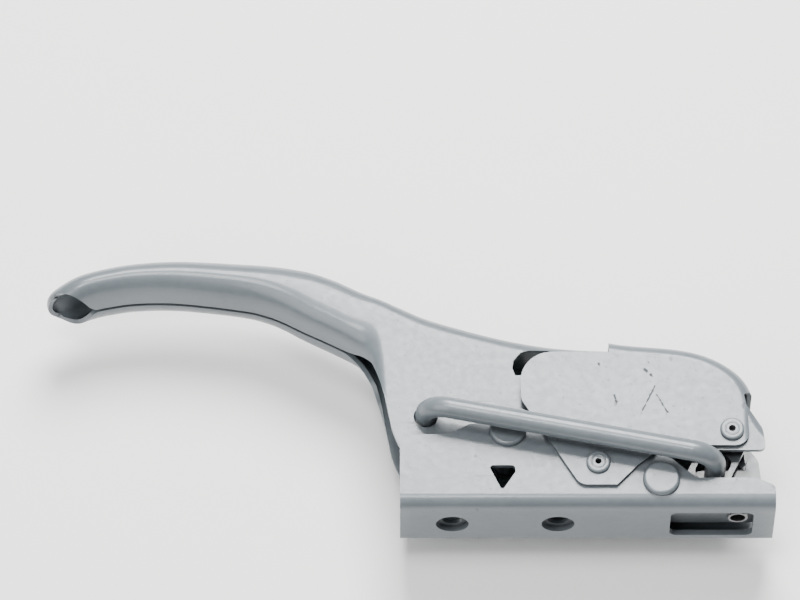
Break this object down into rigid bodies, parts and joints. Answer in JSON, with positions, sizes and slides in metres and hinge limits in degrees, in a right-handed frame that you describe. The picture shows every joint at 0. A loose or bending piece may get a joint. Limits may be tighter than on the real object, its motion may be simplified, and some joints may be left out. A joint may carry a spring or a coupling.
{
  "type": "lever hole punch",
  "caption": "Sheet-steel lever hole punch: long curved handle, side bail, saddle head with a narrow mouth and drilled base channel.",
  "frame": {"origin": "middle of the base plate's outer face", "axes": "+X towards the mouth, +Y out of the base plate towards the handle, +Z across the width; the tool lies on its side"},
  "size_m": [0.2506, 0.0989, 0.0512],
  "materials": {
    "grey_enamel": "gloss",
    "tool_steel": "ground",
    "spring_steel": "satin"
  },
  "bodies": {
    "frame": {"base_channel": "grey_enamel", "base_liner": "grey_enamel", "punch_frame": "grey_enamel", "die_button": "tool_steel", "head_cap": "grey_enamel", "head_liner": "grey_enamel", "tab_rivets": "grey_enamel", "frame_rivet": "grey_enamel", "frame_spacers": "grey_enamel", "handle_rivet": "grey_enamel", "head_rivet": "grey_enamel", "punch_spring": "spring_steel", "rocker_spring": "spring_steel"},
    "handle": {"handle": "grey_enamel", "grip_near": "grey_enamel", "grip_far": "grey_enamel", "grip_crown": "grey_enamel", "grip_lips": "grey_enamel", "pivot_tube": "grey_enamel", "pivot_bushes": "tool_steel"},
    "bail": {"bail_rod": "grey_enamel"},
    "rocker": {"rocker": "grey_enamel"},
    "punch": {"punch_pin": "tool_steel", "punch_collar": "tool_steel"}
  },
  "joints": [
    {"name": "handle_lift", "type": "hinge", "parent": "frame", "child": "handle", "pos_m": [-0.0269, 0.0285, 0], "axis": [0, 0, -1], "range_deg": [0, 55]},
    {"name": "bail_swing", "type": "hinge", "parent": "handle", "child": "bail", "pos_m": [-0.0548, 0.0348, 0], "axis": [0, 0, -1], "range_deg": [-42.5, 0]},
    {"name": "rocker_swing", "type": "hinge", "parent": "frame", "child": "rocker", "pos_m": [0.0493, 0.0279, 0], "axis": [0, 0, 1], "range_deg": [0, 44.2]},
    {"name": "punch_lift", "type": "slide", "parent": "frame", "child": "punch", "axis": [0, 1, 0], "range_m": [0, 0.00262]}
  ],
  "couplings": [
    {"joint": "bail_swing", "follows": "handle_lift", "ratio": -0.77},
    {"joint": "rocker_swing", "follows": "handle_lift", "ratio": 0.8},
    {"joint": "punch_lift", "follows": "handle_lift", "m_per_rad": 0.0027}
  ]
}
